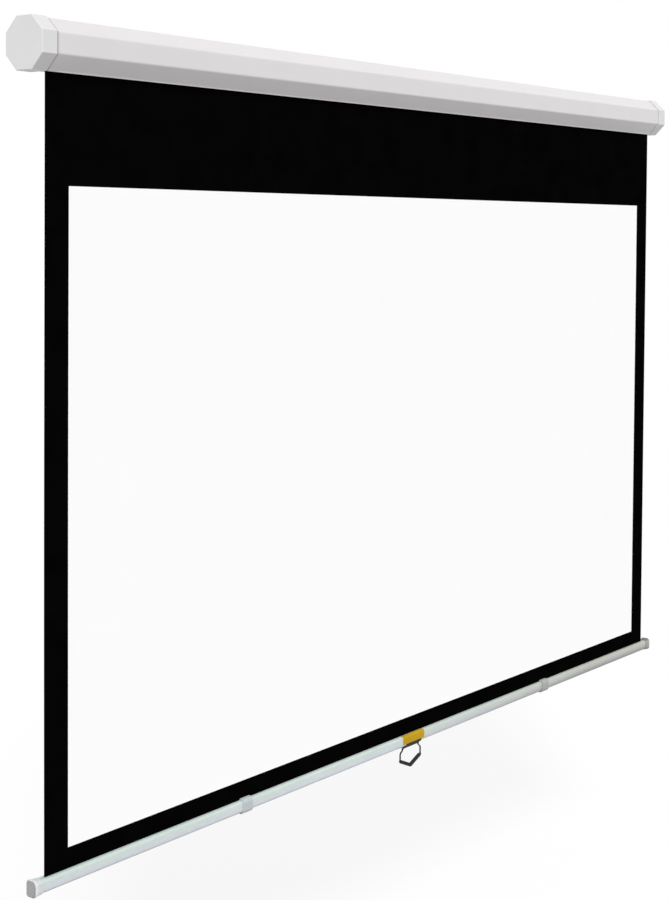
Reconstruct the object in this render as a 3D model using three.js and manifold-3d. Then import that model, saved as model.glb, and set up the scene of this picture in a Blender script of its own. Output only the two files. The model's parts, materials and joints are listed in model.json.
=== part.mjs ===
// Wall-hung pull-down projector screen: an octagonal steel casing with moulded end caps, a spring
// roller with a ratchet-and-pawl lock inside it, the hanging fabric, and a weight bar with stop
// collars and a swinging pull handle. Millimetres, +Z up, +X to the right of someone who faces the
// screen, and the picture side towards -Y. The origin is on the wall, level with the casing's axis.

import * as THREE from "three";
import { mergeVertices } from "three/addons/utils/BufferGeometryUtils.js";
import Module from "manifold-3d";

const wasm = await Module();
wasm.setup();

// Clearances
const FIT = 0.3; // between a piece and its seat
const OVERRUN = 2; // how far a cutting tool runs past the face it cuts
const RUNNING_GAP = 1; // between a turning face and a fixed one
const STOP_GAP = 1; // left under the casing when the bar is right up

// Fabric
const VIEW_WIDTH = 1860;
const VIEW_HEIGHT = 1046;
const SIDE_BORDER = 50;
const TOP_DROP = 175; // black fabric between the casing and the picture
const BOTTOM_BORDER = 33;
const FRONT_LAYER = 0.25;
const BACK_LAYER = 0.2;
const WRAPS_LEFT = 3; // turns that stay on the tube when the screen is fully down

// Casing
const CASE_FLATS = 80; // across the octagon's flats
const CASE_WALL = 1.2;
const CASE_BEND = 2; // outer radius of the folds
const CASE_OVERHANG = 32; // from the fabric's edge to the outer face of an end cap
const SLOT_WIDTH = 16;
const LIP_DROP = 1.8; // the front lip hangs this far below the flats
const LIP_RISE = 4;
const LIP_GAP = 2.27; // between the front lip and the hanging fabric

// End caps
const CAP_WALL = 1.7;
const CAP_END = 2.5;
const CAP_SKIRT = 30;
const CAP_CHAMFER = 0.8;
const CAP_RIB = 1.6; // stiffening ribs inside the end face
const CAP_RIB_DEPTH = 5;

// Roller
const TUBE_RADIUS = 19;
const TUBE_WALL = 1.2;
const TUBE_OVERHANG = 4; // past the fabric's edge
const PLUG_LENGTH = 20;
const FLANGE = 2;
const IDLER_PIN_RADIUS = 4;
const BUSH_WALL = 1.7;
const BUSH_COLLAR = 1.5;

// Spring and its spindle
const SPINDLE_RADIUS = 5;
const TANG_THICKNESS = 6;
const TANG_REACH = 4; // past its bracket
const SPRING_CURLS = 30;
const SPRING_PITCH = 12;
const SPRING_RADIUS = 8.6; // to the middle of the wire
const WIRE_RADIUS = 1.1;
const SPIGOT_LENGTH = 10;
const SHOULDER_LENGTH = 4;

// Ratchet wheel and pawls
const TEETH = 4;
const WHEEL_WIDTH = 4;
const WHEEL_TIP = 10.2;
const WHEEL_ROOT = 6.6;
const PAWL_PIVOT = 16.5; // from the roller's axis
const PAWL_PIN = 1.5;
const PAWL_EYE = 3.1;
const PAWL_ARM = 4.2; // width of the curved arm
const PAWL_NOSE = 10.8; // radius of the lifted nose's tip
const PAWL_NOSE_ANGLE = 30; // degrees, of the nose's tip from level
const PAWL_TIP_WIDTH = 1.6;
const PAWL_DROP = 13; // degrees from lifted to locked

// Brackets, hanger plates and rivets
const BRACKET_PLATE = 2;
const BRACKET_FOOT = 1.6;
const FOOT_HEIGHT = 30;
const FOOT_EDGE = 8; // from the rivets to the edge of the foot
const BRACKET_FLOOR = 6; // the plate stops this far above the casing's bottom flat
const HANGER_PLATE = 1.4;
const HANGER_LENGTH = 54;
const HANGER_HEIGHT = 29;
const HANGER_INSET = 3; // between the plate and the end cap
const RIVET_INSET = 9; // from the outer edge of the hanger plate
const RIVET_RISE = 10;
const RIVET_SHANK = 1.75;
const RIVET_HEAD = 3;
const RIVET_HEAD_DEPTH = 1.2;
const RIVET_TAIL = 1.3;
const KEYHOLE_INSET = 37; // from the outer edge of the hanger plate
const KEYHOLE_HEAD = 5.5;
const KEYHOLE_SLOT = 2.8;
const KEYHOLE_TRAVEL = 11;
const WINDOW_MARGIN = 2; // casing window round the keyhole

// Weight bar, caps and collars
const BAR_HEIGHT = 22;
const BAR_DEPTH = 17;
const BAR_FRONT_CORNER = 5.6;
const BAR_BACK_CORNER = 2.6;
const BAR_WALL = 1.5;
const BAR_OVERHANG = 26; // from the fabric's edge to the rim of a bar cap
const BAR_SLOT = 2.4;
const HEM_ROD = 3;
const BAR_CAP_LENGTH = 15;
const BAR_CAP_END = 3.4;
const BAR_CAP_LIP = 0.8;
const FLARE_SHARES = [ // of the cap's length from its mouth, of its flare
  [0, 0], [0.3, 0.06], [0.5, 0.24], [0.66, 0.55], [0.78, 0.88], [0.86, 1], [0.96, 1], [1, 0.93],
];
const FLARE_SHARE = 0.12; // how much larger the cap's face is than its mouth
const BAR_PLUG_SHARE = 0.88; // of the cap's face
const BAR_PLUG_DEPTH = 1.6; // of its seat in the cap
const BAR_PLUG_PROUD = 2.2; // past the cap's rim
const BAR_PLUG_EDGE = 0.6;
const COLLAR_LENGTH = 26;
const COLLAR_WALL = 2.4;
const COLLAR_EDGE = 0.7;
const COLLAR_PLACE_SHARE = 0.519; // of half the fabric's width
const LABEL_LENGTH = 73;
const LABEL_FILM = 0.3;
const LABEL_GLUE = 0.1;
const LABEL_INSET = 1.6; // between its upper edge and the bar's slot

// Pull handle
const HANDLE_BRACKET_LENGTH = 50;
const HANDLE_BRACKET_DEPTH = 9;
const SADDLE_WALL = 1.6; // of the bracket where it hugs the bar
const SADDLE_RISE = 5; // how far it comes up the bar's sides
const HANDLE_EYE = 2.4;
const HANDLE_PIN = 1.1;
const HANDLE_PIN_GRIP = 6; // length of the pin inside its bracket
const ARM_THICKNESS = 1.8;
const ARM_DEPTH = 2.4;
const GRIP_THICKNESS = 6.8;
const GRIP_DEPTH = 4;
const GRIP_RISE = 4.6; // how far the grip comes up the arms
const HANDLE_WIDTH = 71;
const HANDLE_SHOULDER = 14; // below the bar, where the arms reach full width
const HANDLE_CORNER = 33; // below the bar, where the arms turn in to the grip
const HANDLE_TIP = 48.5; // below the bar
const HANDLE_BEND = 3;

// Faces round a full turn
const ROUND_SEGMENTS = 28;
const SMALL_SEGMENTS = 16;
const WIRE_SIDES = 5;
const STEPS_PER_CURL = 8;
const CURVE_SEGMENTS = 6;
const BEND_STEPS = 3;

// Derived sizes
const EIGHTH = Math.PI / 8;
const fabricWidth = VIEW_WIDTH + 2 * SIDE_BORDER;
const fabricHalf = fabricWidth / 2;
const capFlats = CASE_FLATS + 2 * (FIT + CAP_WALL);
const caseY = -capFlats / 2;
const caseHalfFlats = CASE_FLATS / 2;
const caseHalfSide = caseHalfFlats * Math.tan(EIGHTH);
const capFace = fabricHalf + CASE_OVERHANG;
const capMouth = capFace - CAP_SKIRT;
const shellHalf = capFace - CAP_END - FIT;
const hemWidth = 2 * CASE_WALL;

const tubeHalf = fabricHalf + TUBE_OVERHANG;
const tubeBore = TUBE_RADIUS - TUBE_WALL;
const plugRadius = tubeBore - FIT;
const wrapInner = TUBE_RADIUS + FIT;
const sheetThickness = FRONT_LAYER + BACK_LAYER;
const wrapOuter = wrapInner + WRAPS_LEFT * sheetThickness;
const sheetBack = caseY - caseHalfSide + hemWidth + LIP_GAP + sheetThickness;
const sheetMiddle = sheetBack - sheetThickness / 2;
const rollerY = sheetBack + FIT + wrapOuter;

const flangeStart = tubeHalf + FIT;
const flangeEnd = flangeStart + FLANGE;
const wheelStart = flangeEnd + RUNNING_GAP;
const wheelEnd = wheelStart + WHEEL_WIDTH;
const plateStart = wheelEnd + 2 * RUNNING_GAP;
const plateEnd = plateStart + BRACKET_PLATE;
const rivetReach = capMouth - HANGER_INSET - RIVET_INSET;
const hangerOuter = capMouth - HANGER_INSET;

const viewTop = -capFlats / 2 - TOP_DROP;
const viewBottom = viewTop - VIEW_HEIGHT;
const barTop = viewBottom - BOTTOM_BORDER;
const barZ = barTop - BAR_HEIGHT / 2;
const channelRadius = HEM_ROD + FIT;
const channelZ = BAR_HEIGHT / 2 - BAR_WALL - channelRadius;
const sheetFoot = barZ + channelZ + HEM_ROD + FIT;
const collarHalfHeight = BAR_HEIGHT / 2 + FIT + COLLAR_WALL;
const barTravel = -capFlats / 2 - STOP_GAP - (barZ + collarHalfHeight);
const fullWrap = Math.hypot(wrapOuter, Math.sqrt((barTravel * sheetThickness) / Math.PI));
const meanWrapRadius = (wrapOuter + fullWrap) / 2;

// Solids

/** Turns a closed mesh into a solid that can be joined and cut. */
function solid(geometry) {
  const bare = geometry.clone();
  bare.deleteAttribute("normal");
  bare.deleteAttribute("uv");
  const merged = mergeVertices(bare, FIT / 1000);
  const mesh = new wasm.Mesh({
    numProp: 3,
    vertProperties: new Float32Array(merged.attributes.position.array),
    triVerts: new Uint32Array(merged.index.array),
  });
  return new wasm.Manifold(mesh);
}

/** Gives a solid's surface back as a mesh geometry. */
function surface(body) {
  const mesh = body.getMesh();
  const geometry = new THREE.BufferGeometry();
  geometry.setAttribute("position", new THREE.BufferAttribute(mesh.vertProperties, 3));
  geometry.setIndex(new THREE.BufferAttribute(mesh.triVerts, 1));
  geometry.computeVertexNormals();
  return geometry;
}

function cut(base, ...tools) {
  return surface(tools.reduce((body, tool) => body.subtract(solid(tool)), solid(base)));
}

function join(base, ...others) {
  return surface(others.reduce((body, other) => body.add(solid(other)), solid(base)));
}

function common(base, ...others) {
  return surface(others.reduce((body, other) => body.intersect(solid(other)), solid(base)));
}

/** Turns a piece of the right-hand end into that of the left-hand end. */
function mirrored(geometry) {
  return surface(solid(geometry).mirror([1, 0, 0]));
}

// Forms

/** Extrudes a shape drawn in Y and Z along X, starting at x. */
function alongX(shape, x, length) {
  const geometry = new THREE.ExtrudeGeometry(shape, {
    depth: length,
    bevelEnabled: false,
    curveSegments: CURVE_SEGMENTS,
  });
  const basis = new THREE.Matrix4().makeBasis(
    new THREE.Vector3(0, 1, 0),
    new THREE.Vector3(0, 0, 1),
    new THREE.Vector3(1, 0, 0),
  );
  return geometry.applyMatrix4(basis).translate(x, 0, 0);
}

/** Extrudes a shape drawn in X and Z from y towards the front. */
function forward(shape, y, depth) {
  const geometry = new THREE.ExtrudeGeometry(shape, {
    depth,
    bevelEnabled: false,
    curveSegments: CURVE_SEGMENTS,
  });
  return geometry.rotateX(Math.PI / 2).translate(0, y, 0);
}

/** Turns a profile of [radius, x] points about the X axis. */
function turned(profile, segments = ROUND_SEGMENTS, phase = 0) {
  const points = profile.map(([radius, x]) => new THREE.Vector2(radius, x));
  return new THREE.LatheGeometry(points, segments, phase).rotateZ(-Math.PI / 2);
}

/** A ring or tube about the X axis, from x to x + length. */
function ring(inner, outer, x, length, segments = ROUND_SEGMENTS) {
  const end = x + length;
  return turned([[inner, x], [outer, x], [outer, end], [inner, end], [inner, x]], segments);
}

/** A round bar about the X axis, from x to x + length. */
function rod(radius, x, length, segments = SMALL_SEGMENTS) {
  const end = x + length;
  return turned([[0, x], [radius, x], [radius, end], [0, end]], segments);
}

function block(width, depth, height, x, y, z) {
  return new THREE.BoxGeometry(width, depth, height).translate(x, y, z);
}

/** A rectangle centred on the origin, with round corners that may differ from right to left. */
function roundedRect(width, height, right, left = right) {
  const x = width / 2;
  const y = height / 2;
  const shape = new THREE.Shape();
  shape.absarc(x - right, y - right, right, 0, Math.PI / 2);
  shape.absarc(left - x, y - left, left, Math.PI / 2, Math.PI);
  shape.absarc(left - x, left - y, left, Math.PI, 1.5 * Math.PI);
  shape.absarc(x - right, right - y, right, 1.5 * Math.PI, 2 * Math.PI);
  return shape;
}

/** Replaces each inner corner of a line by a small curve. */
function softened(line, radius) {
  const out = [line[0]];
  for (let i = 1; i < line.length - 1; i += 1) {
    const before = line[i - 1].clone().sub(line[i]).setLength(radius).add(line[i]);
    const after = line[i + 1].clone().sub(line[i]).setLength(radius).add(line[i]);
    const bend = new THREE.QuadraticBezierCurve(before, line[i], after);
    out.push(...bend.getPoints(BEND_STEPS));
  }
  out.push(line[line.length - 1]);
  return out;
}

/** A strip of even thickness that follows a line and lies to the right of it. */
function strip(line, thickness) {
  const inner = line.map((point, i) => {
    const next = line[Math.min(i + 1, line.length - 1)];
    const last = line[Math.max(i - 1, 0)];
    const ahead = next.clone().sub(point).normalize();
    const behind = point.clone().sub(last).normalize();
    const first = ahead.lengthSq() > 0 ? ahead : behind;
    const second = behind.lengthSq() > 0 ? behind : ahead;
    const sum = new THREE.Vector2(first.y + second.y, -first.x - second.x);
    return sum.multiplyScalar(thickness / (1 + first.dot(second))).add(point);
  });
  return new THREE.Shape([...line, ...inner.reverse()]);
}

function octagon(flats) {
  const radius = flats / 2 / Math.cos(EIGHTH);
  const corners = Array.from({ length: 8 }, (_, i) => {
    const angle = EIGHTH + (i * Math.PI) / 4;
    return new THREE.Vector2(radius * Math.cos(angle), radius * Math.sin(angle));
  });
  return new THREE.Shape(corners);
}

/** A point at a radius and an angle from the roller's axis. */
function polar(radius, angle) {
  return new THREE.Vector2(radius * Math.cos(angle), radius * Math.sin(angle));
}

// Materials

function finish(color, roughness, metalness = 0) {
  return new THREE.MeshStandardMaterial({ color, roughness, metalness });
}

const caseWhite = finish(0xdcdada, 0.45);
const capWhite = finish(0xdedede, 0.5);
const steel = finish(0x9a9ca0, 0.35, 0.9);
const zinc = finish(0xb4b6b8, 0.45, 0.8);
const brass = finish(0xb08d4a, 0.4, 0.9);
const nylon = finish(0xe6e2d6, 0.55);
const springSteel = finish(0x55585c, 0.35, 0.9);
const viewWhite = finish(0xfafafa, 0.9);
const maskBlack = finish(0x080808, 0.85);
const backBlack = finish(0x101010, 0.8);
const barGrey = finish(0xc3c9cb, 0.4, 0.2);
const barCapWhite = finish(0xd2d6d9, 0.5);
const barPlugGrey = finish(0x9c9ea0, 0.55);
const labelYellow = finish(0xd0a428, 0.6);
const collarGrey = finish(0xb9c3c8, 0.5);
const handleBlack = finish(0x262628, 0.5);

function place(group, name, geometry, material) {
  const mesh = new THREE.Mesh(geometry, material);
  mesh.name = name;
  group.add(mesh);
  return mesh;
}

// Rivets

const rivetGrip = (capFlats - CASE_FLATS) / 2 + CASE_WALL + BRACKET_FOOT;

/** A form about the Y axis from a profile of [radius, y] points. */
function spun(profile) {
  const points = profile.map(([radius, y]) => new THREE.Vector2(radius, y));
  return new THREE.LatheGeometry(points, SMALL_SEGMENTS);
}

/** A rivet whose countersunk head is flush with y = 0 and whose tail points to the front. */
function rivet() {
  return spun([
    [0, -rivetGrip - RIVET_TAIL],
    [RIVET_HEAD, -rivetGrip - RIVET_TAIL],
    [RIVET_HEAD, -rivetGrip],
    [RIVET_SHANK, -rivetGrip],
    [RIVET_SHANK, -RIVET_HEAD_DEPTH],
    [RIVET_HEAD, 0],
    [0, 0],
  ]);
}

function rivetHole() {
  return spun([
    [0, -rivetGrip - OVERRUN],
    [RIVET_SHANK + FIT, -rivetGrip - OVERRUN],
    [RIVET_SHANK + FIT, -RIVET_HEAD_DEPTH],
    [RIVET_HEAD + FIT, 0],
    [RIVET_HEAD + FIT, OVERRUN],
    [0, OVERRUN],
  ]);
}

const rivetPlaces = [-1, 1].flatMap((side) =>
  [-1, 1].map((rise) => ({ side, rise, x: side * rivetReach, z: rise * RIVET_RISE })),
);
const rivetBackY = capFlats / 2 - FIT; // in the casing's own frame

function rivetHoles() {
  return rivetPlaces.map(({ x, z }) => rivetHole().translate(x, rivetBackY, z));
}

// Casing

/** Keyhole with its wide end low, so that the screen drops onto a screw. */
function keyhole(x, y, depth, margin) {
  const wide = new THREE.Shape();
  wide.absarc(x, -KEYHOLE_TRAVEL / 2, KEYHOLE_HEAD + margin, 0, 2 * Math.PI);
  const narrow = new THREE.Shape();
  narrow.absarc(x, KEYHOLE_TRAVEL / 2, KEYHOLE_SLOT + margin, 0, Math.PI);
  narrow.absarc(x, -KEYHOLE_TRAVEL / 2, KEYHOLE_SLOT + margin, Math.PI, 2 * Math.PI);
  return join(forward(wide, y, depth), forward(narrow, y, depth));
}

function casingShell() {
  const h = caseHalfFlats;
  const s = caseHalfSide;
  const slotRear = -s + hemWidth + SLOT_WIDTH;
  const outline = [
    [-s, -h], [-h, -s], [-h, s], [-s, h], [s, h], [h, s], [h, -s], [s, -h], [slotRear, -h],
    [slotRear, -h + LIP_RISE],
  ].map(([y, z]) => new THREE.Vector2(y, z));
  const sheet = alongX(strip(softened(outline, CASE_BEND), CASE_WALL), -shellHalf, 2 * shellHalf);
  const hemHeight = LIP_DROP + LIP_RISE;
  const hem = block(
    2 * (capMouth - FIT), hemWidth, hemHeight, 0, -s + hemWidth / 2, -h - LIP_DROP + hemHeight / 2,
  );
  const window = KEYHOLE_TRAVEL + 2 * (KEYHOLE_HEAD + WINDOW_MARGIN);
  const windows = [-1, 1].map((side) =>
    block(
      2 * (KEYHOLE_HEAD + WINDOW_MARGIN), 2 * OVERRUN, window,
      side * (hangerOuter - KEYHOLE_INSET), h, 0,
    ),
  );
  return cut(join(sheet, hem), ...windows, ...rivetHoles());
}

function endCap() {
  const inner = capFlats / 2 - CAP_WALL;
  const outer = capFlats / 2;
  const corner = 1 / Math.cos(EIGHTH);
  const floor = CAP_SKIRT - CAP_END;
  const profile = [
    [0, floor],
    [inner * corner, floor],
    [inner * corner, 0],
    [outer * corner, 0],
    [outer * corner, CAP_SKIRT - CAP_CHAMFER],
    [(outer - CAP_CHAMFER) * corner, CAP_SKIRT],
    [0, CAP_SKIRT],
  ];
  const cup = turned(profile, 8, EIGHTH);
  const ribSpan = 2 * (inner - CASE_WALL - 2 * FIT);
  const ribX = floor - CAP_RIB_DEPTH / 2 + OVERRUN / 2;
  const ribs = [0, 1].map((turn) =>
    block(CAP_RIB_DEPTH + OVERRUN, CAP_RIB, ribSpan, ribX, 0, 0).rotateX((turn * Math.PI) / 2),
  );
  return join(cup, ...ribs);
}

/** Plate across the casing that carries one end of the roller, with a foot on the back wall. */
function rollerBracket(side, hole) {
  const flats = CASE_FLATS - 2 * (CASE_WALL + FIT);
  const keep = flats - BRACKET_FLOOR;
  const plateX = side > 0 ? plateStart : -plateEnd;
  const plate = common(
    alongX(octagon(flats), plateX, BRACKET_PLATE),
    block(2 * capFace, flats + OVERRUN, keep, 0, 0, (flats - keep) / 2),
  );
  const footStart = rivetReach - FOOT_EDGE;
  const footLength = plateEnd - footStart;
  const foot = block(
    footLength, BRACKET_FOOT, FOOT_HEIGHT,
    side * (footStart + footLength / 2), flats / 2 - BRACKET_FOOT / 2, 0,
  );
  return cut(join(plate, foot), hole, ...rivetHoles());
}

/** Spindle end with two flats, grown by a clearance where it is a hole. */
function tangShape(grow) {
  const radius = SPINDLE_RADIUS + grow;
  const lean = Math.asin((TANG_THICKNESS / 2 + grow) / radius);
  const shape = new THREE.Shape();
  shape.absarc(0, 0, radius, Math.PI / 2 - lean, Math.PI / 2 + lean);
  shape.absarc(0, 0, radius, 1.5 * Math.PI - lean, 1.5 * Math.PI + lean);
  return shape;
}

function hangerPlate(side) {
  const middle = side * (hangerOuter - HANGER_LENGTH / 2);
  const outline = roundedRect(HANGER_LENGTH, HANGER_HEIGHT, CASE_BEND);
  const front = capFlats / 2 - FIT;
  const plate = forward(outline, front, HANGER_PLATE).translate(middle, 0, 0);
  const slot = keyhole(
    side * (hangerOuter - KEYHOLE_INSET), front + OVERRUN, HANGER_PLATE + 2 * OVERRUN, 0,
  );
  return cut(plate, slot, ...rivetHoles());
}

const casing = new THREE.Group();
casing.position.set(0, caseY, 0);
place(casing, "casing_shell", casingShell(), caseWhite);
place(casing, "right_end_cap", endCap(), capWhite).position.x = capMouth;
const leftCap = place(casing, "left_end_cap", endCap(), capWhite);
leftCap.rotation.z = Math.PI;
leftCap.position.x = -capMouth;
const bushHole = IDLER_PIN_RADIUS + FIT + BUSH_WALL + FIT;
const idlerHole = rod(bushHole, -plateEnd - OVERRUN, BRACKET_PLATE + 2 * OVERRUN);
const tangHole = alongX(tangShape(FIT), plateStart - OVERRUN, BRACKET_PLATE + 2 * OVERRUN);
idlerHole.translate(0, rollerY - caseY, 0);
tangHole.translate(0, rollerY - caseY, 0);
place(casing, "left_roller_bracket", rollerBracket(-1, idlerHole), zinc);
place(casing, "right_roller_bracket", rollerBracket(1, tangHole), zinc);
for (const [name, side] of [["left", -1], ["right", 1]]) {
  place(casing, `${name}_hanger_plate`, hangerPlate(side), zinc);
}
for (const { side, rise, x, z } of rivetPlaces) {
  const name = `${side < 0 ? "left" : "right"}_${rise < 0 ? "lower" : "upper"}_rivet`;
  place(casing, name, rivet(), steel).position.set(x, rivetBackY, z);
}

// Fixed spindle, ratchet wheel and spring

const bushOuter = SPINDLE_RADIUS + FIT + BUSH_WALL;
const carrierInner = flangeStart - PLUG_LENGTH;
const shoulderEnd = carrierInner - RUNNING_GAP;
const shoulderStart = shoulderEnd - SHOULDER_LENGTH;
const springEnd = shoulderStart - FIT - WIRE_RADIUS;
const springLength = SPRING_CURLS * SPRING_PITCH;
const springStart = springEnd - springLength;
const drivePlugEnd = springStart - WIRE_RADIUS - FIT;
const drivePlugStart = drivePlugEnd - PLUG_LENGTH;
const spigotRadius = SPRING_RADIUS * Math.cos(Math.PI / STEPS_PER_CURL) - WIRE_RADIUS - FIT;
const shoulderRadius = SPRING_RADIUS + WIRE_RADIUS;

function spindle() {
  const length = wheelEnd - drivePlugStart;
  const shaft = rod(SPINDLE_RADIUS, drivePlugStart, length);
  const tang = alongX(tangShape(0), wheelEnd - OVERRUN, plateEnd + TANG_REACH - wheelEnd + OVERRUN);
  return join(shaft, tang);
}

/** Angle of the ratchet's upright faces, so that a locked pawl's nose stands against one. */
function wheelPhase() {
  const nose = polar(PAWL_NOSE, THREE.MathUtils.degToRad(PAWL_NOSE_ANGLE));
  const pivot = new THREE.Vector2(0, PAWL_PIVOT);
  const locked = nose.rotateAround(pivot, -THREE.MathUtils.degToRad(PAWL_DROP));
  return locked.angle() - FIT / locked.length();
}

/** Each tooth climbs from the root to the tip and falls back along an upright face. */
function ratchetWheel() {
  const pitch = (2 * Math.PI) / TEETH;
  const start = wheelPhase();
  const points = [];
  for (let tooth = 0; tooth < TEETH; tooth += 1) {
    for (let step = 0; step <= CURVE_SEGMENTS; step += 1) {
      const share = step / CURVE_SEGMENTS;
      const radius = WHEEL_ROOT + (WHEEL_TIP - WHEEL_ROOT) * share;
      points.push(polar(radius, start + (tooth + share) * pitch));
    }
  }
  const bore = rod(SPINDLE_RADIUS + FIT, wheelStart - OVERRUN, WHEEL_WIDTH + 2 * OVERRUN);
  return cut(alongX(new THREE.Shape(points), wheelStart, WHEEL_WIDTH), bore);
}

class Helix extends THREE.Curve {
  getPoint(t) {
    const angle = 2 * Math.PI * SPRING_CURLS * t;
    const x = springStart + springLength * t;
    return new THREE.Vector3(x, SPRING_RADIUS * Math.cos(angle), SPRING_RADIUS * Math.sin(angle));
  }
}

function torsionSpring() {
  const wire = new THREE.Shape(
    Array.from({ length: WIRE_SIDES }, (_, i) => polar(WIRE_RADIUS, (2 * Math.PI * i) / WIRE_SIDES)),
  );
  return new THREE.ExtrudeGeometry(wire, {
    steps: SPRING_CURLS * STEPS_PER_CURL,
    extrudePath: new Helix(),
    bevelEnabled: false,
  });
}

/** Least gap between neighbouring curls, measured on the wire's middle line. */
function springGap() {
  const path = new Helix();
  const points = path.getSpacedPoints(SPRING_CURLS * STEPS_PER_CURL);
  let least = Infinity;
  for (let i = 0; i < points.length; i += 1) {
    for (let j = i + STEPS_PER_CURL / 2; j < points.length; j += 1) {
      least = Math.min(least, points[i].distanceTo(points[j]));
    }
  }
  return least - 2 * WIRE_RADIUS;
}

function springArbor() {
  const bore = SPINDLE_RADIUS + FIT;
  const spigotStart = shoulderStart - SPIGOT_LENGTH;
  return turned([
    [bore, spigotStart],
    [spigotRadius, spigotStart],
    [spigotRadius, shoulderStart],
    [shoulderRadius, shoulderStart],
    [shoulderRadius, shoulderEnd],
    [bore, shoulderEnd],
    [bore, spigotStart],
  ]);
}

const lock = new THREE.Group();
lock.position.set(0, rollerY, 0);
place(lock, "spring_spindle", spindle(), steel);
place(lock, "ratchet_wheel", ratchetWheel(), steel);
place(lock, "spring_arbor", springArbor(), zinc);
place(lock, "torsion_spring", torsionSpring(), springSteel);
const idlerBush = turned([
  [IDLER_PIN_RADIUS + FIT, -plateEnd],
  [IDLER_PIN_RADIUS + FIT + BUSH_WALL, -plateEnd],
  [IDLER_PIN_RADIUS + FIT + BUSH_WALL, -plateStart + FIT],
  [IDLER_PIN_RADIUS + FIT + 2 * BUSH_WALL, -plateStart + FIT],
  [IDLER_PIN_RADIUS + FIT + 2 * BUSH_WALL, -plateStart + FIT + BUSH_COLLAR],
  [IDLER_PIN_RADIUS + FIT, -plateStart + FIT + BUSH_COLLAR],
  [IDLER_PIN_RADIUS + FIT, -plateEnd],
]);
place(lock, "idler_bush", idlerBush, nylon);

// Roller

/** Moulded plug in the tube's idler end, with its flange on the tube's end. */
function idlerPlug() {
  const bore = IDLER_PIN_RADIUS + FIT;
  return turned([
    [bore, -flangeEnd],
    [TUBE_RADIUS, -flangeEnd],
    [TUBE_RADIUS, -flangeStart],
    [plugRadius, -flangeStart],
    [plugRadius, -flangeStart + PLUG_LENGTH],
    [bore, -flangeStart + PLUG_LENGTH],
    [bore, -flangeEnd],
  ]);
}

/** End plug that turns on the spindle's bush and carries the pawls on two pins. */
function pawlCarrier() {
  const bore = bushOuter + FIT;
  const body = turned([
    [bore, carrierInner],
    [plugRadius, carrierInner],
    [plugRadius, flangeStart],
    [TUBE_RADIUS, flangeStart],
    [TUBE_RADIUS, flangeEnd],
    [bore, flangeEnd],
    [bore, carrierInner],
  ]);
  const pinLength = wheelEnd + RUNNING_GAP - flangeEnd + OVERRUN / 2;
  const pins = [-1, 1].map((rise) =>
    rod(PAWL_PIN, flangeEnd - OVERRUN / 2, pinLength).translate(0, 0, rise * PAWL_PIVOT),
  );
  return join(body, ...pins);
}

/** Plug fast in the tube that takes the spring's far end and turns on the spindle's tip. */
function drivePlug() {
  const bore = SPINDLE_RADIUS + FIT;
  const spigotEnd = drivePlugEnd + SPIGOT_LENGTH;
  return turned([
    [bore, drivePlugStart],
    [plugRadius, drivePlugStart],
    [plugRadius, drivePlugEnd],
    [spigotRadius, drivePlugEnd],
    [spigotRadius, spigotEnd],
    [bore, spigotEnd],
    [bore, drivePlugStart],
  ]);
}

const roller = new THREE.Group();
roller.position.set(0, rollerY, 0);
place(roller, "roller_tube", ring(tubeBore, TUBE_RADIUS, -tubeHalf, 2 * tubeHalf), zinc);
place(roller, "wound_fabric", ring(wrapInner, wrapOuter, -fabricHalf, fabricWidth), backBlack);
place(roller, "idler_plug", idlerPlug(), nylon);
const gudgeonStart = -plateEnd - TANG_REACH;
const gudgeonLength = -flangeStart + PLUG_LENGTH - gudgeonStart;
place(roller, "gudgeon_pin", rod(IDLER_PIN_RADIUS, gudgeonStart, gudgeonLength), steel);
place(roller, "pawl_carrier", pawlCarrier(), zinc);
const bush = ring(SPINDLE_RADIUS + FIT, bushOuter, carrierInner, flangeEnd - carrierInner);
place(roller, "spindle_bush", bush, brass);
place(roller, "drive_plug", drivePlug(), nylon);

/** Hooked lever drawn in its lifted place, about its own pivot. */
function pawl() {
  const drop = THREE.MathUtils.degToRad(PAWL_DROP);
  const noseAngle = THREE.MathUtils.degToRad(PAWL_NOSE_ANGLE);
  const outer = PAWL_PIVOT + PAWL_ARM / 2;
  const inner = PAWL_PIVOT - PAWL_ARM / 2;
  const tip = polar(PAWL_NOSE, noseAngle);
  const heel = polar(PAWL_NOSE, noseAngle + PAWL_TIP_WIDTH / PAWL_NOSE);
  const face = polar(outer - PAWL_NOSE, noseAngle + drop).add(tip);
  const rootAngle = noseAngle + (2 * PAWL_ARM) / inner;
  const shape = new THREE.Shape();
  shape.absarc(0, 0, outer, Math.PI / 2, face.angle(), true);
  shape.lineTo(tip.x, tip.y);
  shape.lineTo(heel.x, heel.y);
  shape.absarc(0, 0, inner, rootAngle, Math.PI / 2);
  const arm = alongX(shape, 0, WHEEL_WIDTH).translate(0, 0, -PAWL_PIVOT);
  const bore = rod(PAWL_PIN + FIT, -OVERRUN, WHEEL_WIDTH + 2 * OVERRUN);
  return cut(join(arm, rod(PAWL_EYE, 0, WHEEL_WIDTH)), bore);
}

const pawls = new THREE.Group();
pawls.position.set(wheelStart, rollerY, 0);
place(pawls, "upper_pawl", pawl(), steel).position.z = PAWL_PIVOT;
const lowerPawl = place(pawls, "lower_pawl", pawl(), steel);
lowerPawl.position.z = -PAWL_PIVOT;
lowerPawl.rotation.x = Math.PI;

// Fabric

/** One flat layer of the hanging sheet, from the roller down to the hem rod. */
function sheetLayer(depth, hole) {
  const shape = new THREE.Shape([
    new THREE.Vector2(-fabricHalf, sheetFoot),
    new THREE.Vector2(fabricHalf, sheetFoot),
    new THREE.Vector2(fabricHalf, 0),
    new THREE.Vector2(-fabricHalf, 0),
  ]);
  if (hole) shape.holes.push(hole);
  return forward(shape, 0, depth);
}

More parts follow.
